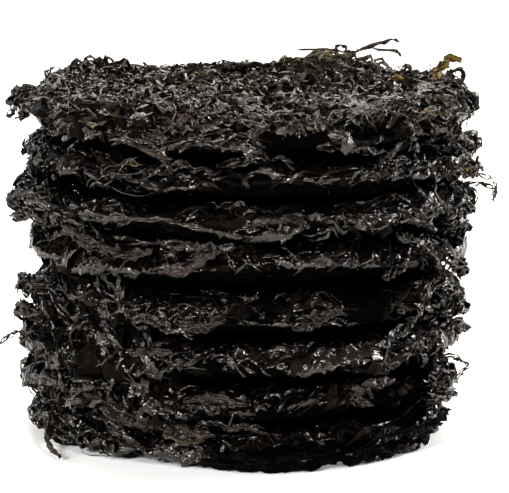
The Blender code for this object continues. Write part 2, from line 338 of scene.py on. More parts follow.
def cross_section(draw, one, shape, cells, run):
    """Across the fronds: half their width, and how far each point lies to the side and out of the sheet.

    shape is the number of bunches and the fronds in each, and run a frond's length in mm.
    """
    bunches, each = shape
    rows, columns = cells[0] + 1, cells[1] + 1
    t = np.linspace(0, 1, rows)[None, :]
    b = np.linspace(-1, 1, columns)[None, None, :]
    taper = np.sin(math.pi * (0.04 + 0.92 * t)) ** 0.5  # narrow at its ends, but not a point
    half = 0.5 * one["width"] * taper * (1 + 0.3 * waves(draw, bunches * each, 1, rows, run / WIDTH_WAVE))
    half = half[:, :, None]
    bow = one["curl"] * (0.4 + 0.6 * waves(draw, bunches, each, rows, run / BOW_WAVE))
    bow = np.where(np.abs(bow) < LEAST_BOW, LEAST_BOW, bow)[:, :, None]
    side = half * np.sin(bow * b) / bow
    rise = half * (1 - np.cos(bow * b)) / bow
    for edge in (-1, 1):
        near_edge = np.clip(edge * b, 0, 1) ** 1.5
        for share, pitch in FRILLS:
            frill = (one["frill"] * waves(draw, bunches * each, 1, rows, run / pitch))[:, :, None]
            rise = rise + share * half * frill * near_edge
            side = side - 0.3 * share * half * np.abs(frill) * edge * near_edge
    lean = (one["roll"] * waves(draw, bunches, each, rows, run / LEAN_WAVE))[:, :, None]
    side, rise = side * np.cos(lean) - rise * np.sin(lean), side * np.sin(lean) + rise * np.cos(lean)
    jolt = (one["crumple"] * MM)[:, :, None]
    side = side + 0.5 * jolt * draw.uniform(-1, 1, side.shape)
    rise = rise + jolt * draw.uniform(-1, 1, side.shape)
    return half, side, rise


# Where the rims are drawn in at the front, so that only shade shows, and are made matt as painted shade. Each
# is
# an ellipse seen from the front, in mm: x and z of its middle, half its width and half its height.
HOLLOWS = (
    (22, 140, 15, 5), (52, 143.5, 10, 3.5), (-22, 131.5, 19, 4), (25, 118, 52, 4.2), (-49, 115, 27, 2.5),
    (-43, 102, 14, 3), (27, 98, 36, 3), (10, 81, 61, 4.6), (53, 69, 15, 11), (-9, 59, 34, 2.5),
    (-18, 101.5, 15, 3), (23, 38, 36, 3.4), (62, 38, 13, 3.4), (-19, 37, 21, 2.2), (23, 22, 23, 3.8),
    (67, 29, 12, 8), (66, 17, 19, 6.9), (22, 6, 26, 4),
)
HOLLOW_DEPTH = 5 * MM
HOLLOW_FADE = 1.6  # how sharply its edge fades
SHADE_MATT_DEPTH = 0.5 * HOLLOW_DEPTH  # what is drawn in further is matt
LOWEST = 0.3 * MM  # no frond goes lower, so that the stack stands on the floor


def hollow(points):
    """How far the points are drawn in, in metres."""
    x, z = points[..., 0] / MM, points[..., 2] / MM
    deep = np.zeros(x.shape)
    for middle_x, middle_z, wide, high in HOLLOWS:
        away = ((x - middle_x) / wide) ** 2 + ((z - middle_z) / high) ** 2
        deep = np.maximum(deep, np.clip(HOLLOW_FADE - away, 0, 1))
    return HOLLOW_DEPTH * deep * (points[..., 1] < 0)


def frond_sheets(draw, guide, kind, u, v, heading):
    """Fronds on a guide. u, v and heading have a row for each bunch and a column for each frond in it."""
    bunches, each = u.shape
    count = u.size
    u, v, heading = u.ravel(), v.ravel(), heading.ravel()
    rows = kind["cells"][0] + 1
    one = {name: draw.uniform(*kind[name], count)[:, None] for name in MEASURES}
    one["lift"] = one["lift"] + draw.uniform(*kind["stand"], (bunches, 1)).repeat(each, 1).reshape(-1, 1)
    run = np.mean(kind["length"]) / MM
    t = np.linspace(0, 1, rows)[None, :]
    turn = heading[:, None] + one["bend"] * waves(draw, bunches, each, rows, run / BEND_WAVE)
    step = one["length"] / (rows - 1)
    run_u = np.cumsum(np.cos(turn) * step, axis=1)
    run_v = np.cumsum(np.sin(turn) * step, axis=1)
    run_u += u[:, None] - run_u[:, rows // 2, None]
    run_v += v[:, None] - run_v[:, rows // 2, None]
    half, side, rise = cross_section(draw, one, (bunches, each), kind["cells"], run)
    height = one["lift"] + one["sway"] * waves(draw, bunches, each, rows, run / SWAY_WAVE, 0.2)
    height = height - one["tuck"] * np.abs(2 * t - 1) ** 5
    points, normals = lay(guide, run_u[:, :, None] - np.sin(turn)[:, :, None] * side,
                          run_v[:, :, None] + np.cos(turn)[:, :, None] * side)
    depth = hollow(points)
    top = points + normals * (height[:, :, None] + rise - depth)[..., None]
    top[..., 2] = np.maximum(top[..., 2], LOWEST)
    # a frond deep in a hollow is made matt, as painted shade
    matt = np.where(depth.mean(axis=(1, 2)) > SHADE_MATT_DEPTH, 1, kind["matt"])
    tone = draw.uniform(*kind["tone"], count)
    return closed_sheets(draw, top, one["length"], half, tone, matt, kind["satin"])


def joined_mesh(name, batches, crease=None):
    """One smooth object, sharp from a crease's angle, from batches of fronds as closed_sheets gives them."""
    shift = np.cumsum([0] + [len(batch[0]) for batch in batches])
    faces = np.concatenate([batch[1] + start for batch, start in zip(batches, shift)])
    points, spots, tones, finishes = (np.concatenate([batch[i] for batch in batches]) for i in (0, 2, 3, 4))
    mesh = bpy.data.meshes.new(name)
    mesh.vertices.add(len(points))
    mesh.vertices.foreach_set("co", points.astype(np.float32).ravel())
    mesh.loops.add(faces.size)
    mesh.loops.foreach_set("vertex_index", faces.astype(np.int32).ravel())
    mesh.polygons.add(len(faces))
    mesh.polygons.foreach_set("loop_start", np.arange(0, faces.size, 4, dtype=np.int32))
    mesh.polygons.foreach_set("material_index", finishes.astype(np.int32))
    mesh.update(calc_edges=True)
    mesh.validate()
    spot = mesh.attributes.new("frond_place", "FLOAT_VECTOR", "POINT")
    spot.data.foreach_set("vector", spots.astype(np.float32).ravel())
    tone = mesh.attributes.new("frond_tone", "FLOAT", "POINT")
    tone.data.foreach_set("value", tones.astype(np.float32))
    for film in (glossy_frond, matt_frond, satin_frond):
        mesh.materials.append(film)
    mesh.shade_smooth()
    if crease:
        mesh.set_sharp_from_angle(angle=crease)
    return new_object(name, mesh)


# The film's colours, from the darkest tone to the brightest: black, brown, olive and amber
TONES = ((0, "#020101"), (0.5, "#040302"), (0.75, "#0b0806"), (0.88, "#1d150e"), (0.95, "#24250c"),
         (0.985, "#3c2c0e"), (1, "#54430e"))
FROND_BUMP = 1.1 * MM
DENTS, CRINKLE = 1.9, 0.45  # how high they are beside the streaks
SHUFFLE = 17.3  # the fraction of so many times its tone sets how deep a frond's wrinkles are
SHALLOWEST = 0.45
ROUGHER = 0.16  # the film's roughest places over its smoothest


def frond_noise(film, spot, scale, detail, roughness, distortion):
    """Noise over the places on a frond, scaled along and across it."""
    place = add_node(film, "Mapping", {"Vector": spot, "Scale": (*scale, 1.0)}).outputs[0]
    sockets = {"Vector": place, "Scale": 1.0, "Detail": detail, "Roughness": roughness,
               "Distortion": distortion}
    return add_node(film, "TexNoise", sockets).outputs[0]


def combined(film, operation, *values):
    return add_node(film, "Math", dict(enumerate(values)), operation=operation).outputs[0]


def frond_material(name, gloss, roughness, tint):
    """A film of laver, black with a purple-brown cast, finely wrinkled along its length.

    It takes its colour from the frond's tone, and its wrinkles from the place on the frond in millimetres.
    """
    film = new_material(name)
    tone = add_node(film, "Attribute", attribute_name="frond_tone").outputs["Fac"]
    spot = add_node(film, "Attribute", attribute_name="frond_place").outputs["Vector"]
    ramp = add_node(film, "ValToRGB", {"Fac": tone})
    stops = ramp.color_ramp.elements
    stops[0].color = hex_colour(TONES[0][1])
    stops[1].color = hex_colour(TONES[-1][1])
    for position, code in TONES[1:-1]:
        stops.new(position).color = hex_colour(code)
    streaks = frond_noise(film, spot, (0.12, 0.9), 1.5, 0.5, 0.6)
    dents = frond_noise(film, spot, (0.24, 0.34), 1.0, 0.4, 0.8)
    crinkle = frond_noise(film, spot, (0.6, 1.2), 1.0, 0.5, 1.0)
    relief = combined(film, "MULTIPLY_ADD", dents, DENTS, streaks)
    relief = combined(film, "MULTIPLY_ADD", crinkle, CRINKLE, relief)
    shuffled = combined(film, "FRACT", combined(film, "MULTIPLY", tone, SHUFFLE))
    wrinkled = add_node(film, "MapRange", {"Value": shuffled, "To Min": SHALLOWEST}).outputs[0]
    bump = add_node(film, "Bump", {"Strength": wrinkled, "Distance": FROND_BUMP, "Height": relief})
    rough = add_node(film, "MapRange", {"Value": dents, "From Min": 0.3, "From Max": 0.7,
                                        "To Min": roughness, "To Max": roughness + ROUGHER})
    finish_surface(film, Base_Color=ramp.outputs[0], Roughness=rough.outputs[0], Specular_IOR_Level=gloss,
                   Specular_Tint=hex_colour(tint), Normal=bump.outputs[0])
    return film


# Dried laver frond, its smooth side: a glossy film.
glossy_frond = frond_material("laver_frond_air_dried_glossy", 0.48, 0.09, "#fff6ee")
# Dried laver frond, its dull side, salt-dry and nearly matt. Where more of it is laid, in the hollows, at the
# foot, on a stretch of the top rim and on the top's back, it is painted shade.
matt_frond = frond_material("laver_frond_matt_and_painted_shade", 0.02, 0.35, "#fff6ee")
# Dried laver frond, its smooth side, dusted with salt: a film with a soft sheen. Where more of it is laid, on
# the top's front and the top rim's upper edge, it is a painted sheen.
satin_frond = frond_material("laver_frond_satin_and_painted_sheen", 0.32, 0.26, "#ffe6df")

RIM_SEED = 100
RIM_SHOWN = mm(-11, 0.5)  # where the rim shows, down from its widest line
TOP_RIM_SHOWN = mm(-15, 0.5)
TOP_SHARE = 1.5  # the top cake has so many times the bunches
# Of each kind: the cells along and across a sheet, bunches and how many in each, how far a bunch spreads
# round and down the rim, its heading, how far it stands off, and the ranges of its sheets' measures.
MEASURES = ("length", "width", "bend", "curl", "roll", "lift", "sway", "frill", "crumple", "tuck")
FROND = dict(curl=(-2.2, 2.2), tuck=mm(1, 4), tone=(0, 0.87), matt=0.45, satin=0.04)
RIM_KINDS = (
    dict(FROND, cells=(20, 4), bunches=14, each=3, spread=mm(7, 2.4), lean=0.3, scatter=0.2,
         stand=mm(-1, 1.8), length=mm(20, 52), width=mm(2, 6), bend=(0.2, 0.9), roll=(0.2, 1.2),
         lift=mm(0.3, 1.6), sway=mm(0.5, 2), frill=(0.2, 0.7), crumple=(0.03, 0.2)),
    dict(FROND, cells=(20, 3), bunches=26, each=5, spread=mm(6, 2.2), lean=0.45, scatter=0.25,
         stand=mm(-1, 2.2), length=mm(16, 44), width=mm(0.9, 2.8), bend=(0.4, 1.5), roll=(0.3, 1.6),
         lift=mm(0.3, 2), sway=mm(0.5, 2), frill=(0.2, 0.8), crumple=(0.02, 0.14)),
    dict(FROND, cells=(16, 2), bunches=30, each=6, spread=mm(6, 2.2), lean=0.3, scatter=0.25,
         stand=mm(-0.5, 2.2), length=mm(12, 44), width=mm(0.4, 1.3), bend=(0.3, 1.0), curl=(-2.0, 2.0),
         roll=(0.2, 1.4), lift=mm(0.5, 2.2), sway=mm(0.4, 1.8), frill=(0.1, 0.5), crumple=(0.01, 0.08),
         matt=0.4, satin=0.03),
)
# A few wide glossy films that lie over each rim's widest line
LIP_FILMS = dict(
    cells=(24, 6), bunches=5, each=1, lean=0.1, stand=mm(0, 0.6), length=mm(26, 60), width=mm(3, 7),
    bend=(0.1, 0.35), curl=(-1.2, 1.0), roll=(0.3, 1.0), lift=mm(1.4, 3), sway=mm(0.4, 1.4),
    frill=(0.2, 0.7), crumple=(0.03, 0.15), tuck=mm(2, 4), tone=(0, 0.85), matt=0.0, satin=0.1)
LIP_ROW, LIP_SPREAD = mm(-1, 1.6)  # where they lie, down from that line, and how far they part
# The top cake's rim has a stretch made mostly matt as painted shade, in turns round from the right side,
SHADED_AT, SHADED_WITHIN, SHADED_MATT = 0.635, 0.05, 0.9
# and an upper edge, up from its widest line, made glossier and sheened as a painted highlight
HIGHLIGHT_ABOVE, HIGHLIGHT_MATT, HIGHLIGHT_SATIN = 8.5 * MM, 0.12, 0.2

guides = [rim_guide(core, tree) for core, tree in zip(cores, smooth_cores)]
for number, guide in enumerate(guides):
    draw = np.random.default_rng(RIM_SEED + number)
    batches = []
    is_top = number == CAKES - 1
    for kind in RIM_KINDS:
        shape = (int(kind["bunches"] * (TOP_SHARE if is_top else 1)), kind["each"])
        u = guide["size"][0] * (np.arange(shape[0])[:, None] + draw.uniform(0, 1, (shape[0], 1))) / shape[0]
        v = np.linspace(*(TOP_RIM_SHOWN if is_top else RIM_SHOWN), shape[0])
        v = v[draw.permutation(shape[0])][:, None] + guide["lip"]
        u = u + draw.normal(0, kind["spread"][0], shape)
        v = v + draw.normal(0, kind["spread"][1], shape)
        heading = draw.normal(0, kind["lean"], (shape[0], 1)) + draw.normal(0, kind["scatter"], shape)
        # painted shade: a stretch of mostly matt fronds
        shaded_stretch = is_top & (np.abs(u / guide["size"][0] - SHADED_AT) < SHADED_WITHIN)
        # painted highlight: glossier and sheened fronds along the upper edge
        highlight_edge = is_top & (v < guide["lip"] - HIGHLIGHT_ABOVE)
        matt = np.where(shaded_stretch, SHADED_MATT, np.where(highlight_edge, HIGHLIGHT_MATT, kind["matt"])).ravel()
        satin = np.where(highlight_edge, HIGHLIGHT_SATIN, kind["satin"]).ravel()
        batches.append(frond_sheets(draw, guide, dict(kind, matt=matt, satin=satin), u, v, heading))
    shape = (LIP_FILMS["bunches"], LIP_FILMS["each"])
    u = draw.uniform(0, guide["size"][0], shape)
    v = guide["lip"] + draw.normal(LIP_ROW, LIP_SPREAD, shape)
    heading = draw.normal(0, LIP_FILMS["lean"], shape)
    batches.append(frond_sheets(draw, guide, LIP_FILMS, u, v, heading))
    rim = joined_mesh(f"laver_rim_fronds_{number + 1}", batches, SHARP_FROM)
    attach(rim, "root")
    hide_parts(f"cake_{number + 1}")

# ------------------
# The crumpled skins of the rims. Where fronds lie wet on one another they dry into one wrinkled skin, with
# long creases along the rim. Each is a closed ring made from arrays: a creased face, and a back inside.
RING_SEED = 400
RING_COLUMNS = 640
RING_ROWS = 60
RING_SHOWN = 46  # of those rows, the ones of the face
RING_EDGES = (0.98, 0.02)  # the face's foot and top, in shares of the way down the rim
RING_EDGE = 3 * MM  # at them it runs in by this much, within this much
RING_DEPTH = 9 * MM  # from the surface in to the ring's back
RING_LOWEST = 6 * MM  # the face never goes further in
RING_SUNK = 1.7 * MM  # how far the folds' feet lie below the smooth rim
# Pitch along and down of what bends the creases and how far, and of the folds and their height, in mm
FLOW = (((62, 30), 8), ((20, 13), 3.5))
FOLDS = (((36, 7), 2.8), ((12, 4.2), 2), ((5, 2.4), 1.1))
RIDGE, RIDGE_POWER = 1.8, 1.7  # how narrow a fold is, and how sharp its crest
UNEVEN_PITCH, UNEVEN = (26, 12), 0.4  # of what makes folds higher and lower
LEAN_PITCH, LEAN = (34, 11), 0.7  # of what leans them over, in shares of their height
MATT_PITCH, MATT_BELOW = (38, 8), 0.1  # where this noise is under this, the skin is matt
TONE_PITCH, TONE_MEAN, TONE_SWING = (30, 6), 0.3, 0.35  # of its tone
# The face falls back above and below its widest line: from where, over how far, and how far in
FALL_ABOVE, FALL_BELOW, FALL_OVER, FALL = mm(11.5, 0.5, 3.5, 3.5)
# Where the lowest cakes run into one another, in turns round from the right side. Gaps are shallower there.
MERGED_AT, MERGED_WITHIN, MERGED_FADE, MERGED_SHARE = 0.63, 0.06, 1.5, 0.8
MERGED_BELOW = 5  # so many cakes
NOISE_ROWS, NOISE_START = 64, 16  # of the noise's table, and the row at v = 0


def noise_round(draw, u, v, around, pitch):
    """Smooth noise from -1 to 1 over a rim, u and v in metres, that closes on itself."""
    cells = max(3, round(around / (pitch[0] * MM)))
    table = draw.uniform(-1, 1, (cells, NOISE_ROWS))
    x, y = u / around * cells, v / (pitch[1] * MM) + NOISE_START
    i, j = np.floor(x).astype(int), np.floor(y).astype(int)
    x, y = x - i, y - j
    x, y = x * x * (3 - 2 * x), y * y * (3 - 2 * y)
    i, i_next, j, j_next = i % cells, (i + 1) % cells, j % NOISE_ROWS, (j + 1) % NOISE_ROWS
    return ((table[i, j] * (1 - x) + table[i_next, j] * x) * (1 - y)
            + (table[i, j_next] * (1 - x) + table[i_next, j_next] * x) * y)


def creased(draw, u, v, around):
    """How far creases stand out at u, v, and how far down the rim that is once the flow has bent it."""
    down = v
    for pitch, reach in FLOW:
        down = down + reach * MM * noise_round(draw, u, v, around, pitch)
    rise = 0
    for pitch, height in FOLDS:
        ridge = 1 - RIDGE * np.abs(noise_round(draw, u, down, around, pitch))
        rise = rise + height * MM * np.clip(ridge, 0, 1) ** RIDGE_POWER
    return rise * (1 + UNEVEN * noise_round(draw, u, v, around, UNEVEN_PITCH)) - RING_SUNK, down


def merged(turn):
    """1 where the cakes run into one another, and 0 elsewhere."""
    return np.clip(MERGED_FADE - np.abs(turn - MERGED_AT) / MERGED_WITHIN, 0, 1)


for number, guide in enumerate(guides):
    draw = np.random.default_rng(RING_SEED + number)
    around, length = guide["size"]
    u = around * np.arange(RING_COLUMNS)[:, None] / RING_COLUMNS + np.zeros((1, RING_ROWS))
    shown = np.linspace(*RING_EDGES, RING_SHOWN) * length
    back = np.linspace(shown[-1], shown[0], RING_ROWS - RING_SHOWN + 2)[1:-1]
    v = np.concatenate([shown, back])[None, :] + np.zeros((RING_COLUMNS, 1))
    rise, down = creased(draw, u, v, around)
    fall = np.clip((v - guide["lip"] - FALL_BELOW) / FALL_OVER, 0, 1)
    if number < CAKES - 1:
        fall = fall + np.clip((guide["lip"] - FALL_ABOVE - v) / FALL_OVER, 0, 1)
    if number < MERGED_BELOW:
        fall = fall * (1 - MERGED_SHARE * merged(u / around))
    rise = rise - FALL * fall
    edge = np.minimum(1, np.minimum(v - shown[-1], shown[0] - v) / RING_EDGE)
    rise = rise * edge - RING_EDGE * (1 - edge)
    lean = LEAN * noise_round(draw, u, v, around, LEAN_PITCH) * rise
    points, normals = lay(guide, u, v + lean)
    depth = hollow(points)
    points = points + normals * np.maximum(rise - depth, -RING_LOWEST)[..., None]
    hidden = slice(RING_SHOWN, None)
    bulge = 0.8 + 0.2 * np.sin(np.linspace(0, math.pi, RING_ROWS - RING_SHOWN + 2))[1:-1, None]
    points[:, hidden] = lay(guide, u, v)[0][:, hidden] - RING_DEPTH * bulge * normals[:, hidden]
    points[..., 2] = np.maximum(points[..., 2], LOWEST)
    spots = np.stack([u / MM, down / MM, np.full(u.shape, 7.0 * number)], -1).reshape(-1, 3)
    tone = TONE_MEAN + TONE_SWING * noise_round(draw, u, down, around, TONE_PITCH)
    matt = noise_round(draw, u, down, around, MATT_PITCH) < MATT_BELOW
    # matt where the noise says, and in the hollows as painted shade
    finish = np.where(matt | (depth > SHADE_MATT_DEPTH), MATT, GLOSSY)
    index = np.arange(RING_COLUMNS * RING_ROWS).reshape(RING_COLUMNS, RING_ROWS)
    onward = np.roll(index, -1, 0)
    faces = np.stack([index, onward, np.roll(onward, -1, 1), np.roll(index, -1, 1)], -1).reshape(-1, 4)
    batch = (points.reshape(-1, 3), faces, spots, tone.ravel(), finish.ravel())
    ring = joined_mesh(f"laver_rim_skin_{number + 1}", [batch])
    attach(ring, "root")
    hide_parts(f"cake_{number + 1}")

# ------------------
# Fronds that hang over the gaps. They came loose from a rim and bridge to the cake below, mostly at the
# stack's sides. Each is a sheet like the rims', laid on a skin drawn round the whole stack.
HUNG_SEED = 7
SKIN_ROWS = 96
SKIN_INSET = 3 * MM  # the skin lies this far inside the rims' widest lines
SKIN_DIP = 4 * MM  # and this much further in where a gap is
GAP_HEIGHT = 11 * MM  # a gap lies this far over the widest line below it


def skin_guide(guides):
    """The stack's side as one table of points, from the top rim down to the lowest one."""
    table = np.empty((RIM_COLUMNS, SKIN_ROWS, 3))
    for column in range(RIM_COLUMNS):
        way = []
        for guide in reversed(guides):
            lip = int(round(guide["lip"] / guide["size"][1] * (RIM_ROWS - 1)))
            out = guide["points"][column, lip] - SKIN_INSET * guide["normals"][column, lip]
            dip = SKIN_DIP * (1 - MERGED_SHARE * merged(column / RIM_COLUMNS))
            gap = out - dip * guide["normals"][column, lip]
            gap[2] += GAP_HEIGHT
            way += [gap, out]
        table[column] = spaced(np.array(way), np.arange(len(way)), SKIN_ROWS)
    table = blurred(table, 4, True)
    length = np.linalg.norm(np.diff(table, axis=1), axis=-1).sum(1).mean()
    outline = np.linalg.norm(table - np.roll(table, 1, 0), axis=-1).sum(0).mean()
    return {"points": table, "normals": normals_of(table, True), "size": (outline, length), "wrap": True}


HUNG = dict(
    FROND, cells=(16, 3), bunches=136, each=4, spread=mm(5, 5), lean=(0.15, 1.1), scatter=0.35,
    stand=mm(-1.5, 1.5), length=mm(12, 34), width=mm(1, 5), bend=(0.3, 1.2), roll=(0.3, 1.6),
    lift=mm(0.5, 3.5), sway=mm(0.5, 2), frill=(0.3, 0.9), crumple=(0.08, 0.3), tuck=mm(2, 6))
HUNG_FROM, HUNG_TO = mm(6, 4)  # from the skin's top, and from its foot
SIDEWAYS = 0.2  # how much they crowd at the sides
# Where some of them hang: how many, turns round from the right side and to each side, from and to how far
# down, and their heading
HUNG_PATCHES = ((9, 0.75, 0.13, *mm(6, 20), 0.4), (34, 0.645, 0.075, *mm(90, 150), 0.6),
                (10, 0.6, 0.05, *mm(60, 95), 0.9))
PATCH_SCATTER = 0.3
skin = skin_guide(guides)
draw = np.random.default_rng(HUNG_SEED)
shape = (HUNG["bunches"], HUNG["each"])
side_on = draw.uniform(0, 1, (shape[0], 1))
u = skin["size"][0] * (side_on - SIDEWAYS * np.sin(4 * math.pi * side_on) / math.pi)
v = draw.uniform(HUNG_FROM, skin["size"][1] - HUNG_TO, (shape[0], 1))
heading = draw.choice((-1, 1), (shape[0], 1)) * draw.uniform(*HUNG["lean"], (shape[0], 1))
done = 0
for count, turn, spread, above, below, course in HUNG_PATCHES:
    u[done:done + count] = skin["size"][0] * (turn + spread * draw.uniform(-1, 1, (count, 1)))
    v[done:done + count] = draw.uniform(above, below, (count, 1))
    heading[done:done + count] = course + draw.normal(0, PATCH_SCATTER, (count, 1))
    done += count
u = u + draw.normal(0, HUNG["spread"][0], shape)
v = v + draw.normal(0, HUNG["spread"][1], shape)
heading = heading + draw.normal(0, HUNG["scatter"], shape)
clear = hollow(lay(skin, u, v)[0]).max(axis=1) == 0
batches = [frond_sheets(draw, skin, HUNG, u[clear], v[clear], heading[clear])]
hung = joined_mesh("laver_hung_fronds", batches, SHARP_FROM)
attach(hung, "root")

# ------------------
# The fronds on the top of the stack. They are the same films, matted flat in every direction, and made as
# sheets like the rims', laid on the top cake's smooth core.
TOP_SEED = 31
TOP_CELL = 2 * MM
TOP_HALF = 96 * MM
TOP_REACH = 90 * MM  # the top's height is looked up within this radius
LOOK_FROM, LOOK_DOWN, TOP_HEIGHT = mm(300, 200, 150)  # from how high, how far down, and what a miss gives


def top_guide(tree):
    """The top face as a table of points, looked up by a place in its plane."""
    steps = int(2 * TOP_HALF / TOP_CELL) + 1
    marks = np.linspace(-TOP_HALF, TOP_HALF, steps)
    table = np.empty((steps, steps, 3))
    for i, x in enumerate(marks):
        for j, y in enumerate(marks):
            pull = min(1.0, TOP_REACH / max(math.hypot(x, y), 1e-9))
            hit = tree.ray_cast(Vector((x * pull, y * pull, LOOK_FROM)), Vector((0, 0, -1)), LOOK_DOWN)[0]
            table[i, j] = (x, y, hit.z if hit else TOP_HEIGHT)
    table[..., 2] = blurred(table, 2, False)[..., 2]
    normals = normals_of(table, False)
    normals *= np.sign(normals[..., 2:])
    return {"points": table, "normals": normals, "size": (2 * TOP_HALF, 2 * TOP_HALF), "wrap": False}


top = top_guide(smooth_cores[-1])
draw = np.random.default_rng(TOP_SEED)
batches = []
TOP_FROND = dict(cells=(14, 3), scatter=0.5, tuck=mm(1, 3), tone=(0.6, 0.94))
TOP_KINDS = (
    dict(TOP_FROND, bunches=105, each=4, spread=mm(6, 6), stand=mm(0, 1.2), length=mm(12, 34),
         width=mm(1.8, 6), bend=(0.3, 1.2), curl=(-2.0, 2.0), roll=(0.3, 1.3), lift=mm(0.3, 1.8),
         sway=mm(0.3, 1.4), frill=(0.3, 0.9), crumple=(0.1, 0.35)),
    dict(TOP_FROND, bunches=110, each=6, spread=mm(7, 7), stand=mm(0, 1.5), length=mm(8, 28),
         width=mm(0.5, 1.8), bend=(0.5, 1.8), curl=(-2.2, 2.2), roll=(0.2, 1.6), lift=mm(0.5, 2.4),
         sway=mm(0.3, 1.6), frill=(0.2, 0.7), crumple=(0.03, 0.15)),
)
# Bunches lie on a spiral with this between them, out to the first margin, and none past the second
GOLDEN_ANGLE, ANGLE_SCATTER = 2.4, 0.3
TOP_MARGIN, TOP_LIMIT = mm(6, 5)
# The share of matt ones, how it grows to the back and the right, and its most, and then of those with a
# sheen.
# The matt ones are painted shade towards the back and right, and the sheened ones a painted sheen at the
# front.
TOP_MATT, MATT_BACK, MATT_RIGHT, MATT_MOST = 0.46, 0.4, 0.12, 0.85
TOP_SATIN, SATIN_BACK, SATIN_LEAST, SATIN_MOST = 0.1, -0.5, 0.05, 0.5
for kind in TOP_KINDS:
    shape = (kind["bunches"], kind["each"])
    order = np.arange(shape[0])[:, None]
    reach = (TOP_HALF - TOP_MARGIN) * np.sqrt((order + 0.5) / shape[0])
    angle = GOLDEN_ANGLE * order + draw.normal(0, ANGLE_SCATTER, (shape[0], 1))
    u = TOP_HALF + reach * np.cos(angle) + draw.normal(0, kind["spread"][0], shape)
    v = TOP_HALF + reach * np.sin(angle) + draw.normal(0, kind["spread"][1], shape)
    pull = np.minimum(1.0, (TOP_HALF - TOP_LIMIT) / np.hypot(u - TOP_HALF, v - TOP_HALF))
    u, v = TOP_HALF + (u - TOP_HALF) * pull, TOP_HALF + (v - TOP_HALF) * pull
    heading = draw.uniform(0, 2 * math.pi, (shape[0], 1)) + draw.normal(0, kind["scatter"], shape)
    back = ((v - TOP_HALF) / TOP_REACH).ravel()  # from -1 at the front to 1
    right = ((u - TOP_HALF) / TOP_REACH).ravel()
    # painted shade to the back and right, and painted sheen to the front
    matt = np.clip(TOP_MATT + MATT_BACK * back + MATT_RIGHT * right, 0, MATT_MOST)
    satin = np.clip(TOP_SATIN + SATIN_BACK * back, SATIN_LEAST, SATIN_MOST)
    batches.append(frond_sheets(draw, top, dict(kind, matt=matt, satin=satin), u, v, heading))
lid = joined_mesh("laver_top_fronds", batches, SHARP_FROM)
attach(lid, "root")
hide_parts("cake_8")

# ------------------
# Loose fronds. A few stick out clear of the stack: a twig, an amber frond, rings, a lobe and thin strands.
# Others stand out by colour or sweep, or catch the light. Each is a sheet made along a route of points.
LOOSE = dict.fromkeys(MEASURES, (0, 0)) | dict(
    cells=(24, 3), width=(0.7, 1.2), curl=(-2.4, 2.4), roll=(0.5, 1.8), frill=(0.3, 0.9),
    crumple=(0.03, 0.12), matt=0, satin=0.15)
LOOSE_SEED = 55
ROUTE_SMOOTHING = 8  # rounds
PART_WAVE = 25  # how long the waves are in which strands part, in mm
TONE_SPREAD = 0.04
BLACK, BROWN, OLIVE, AMBER = 0.3, 0.83, 0.95, 1.0
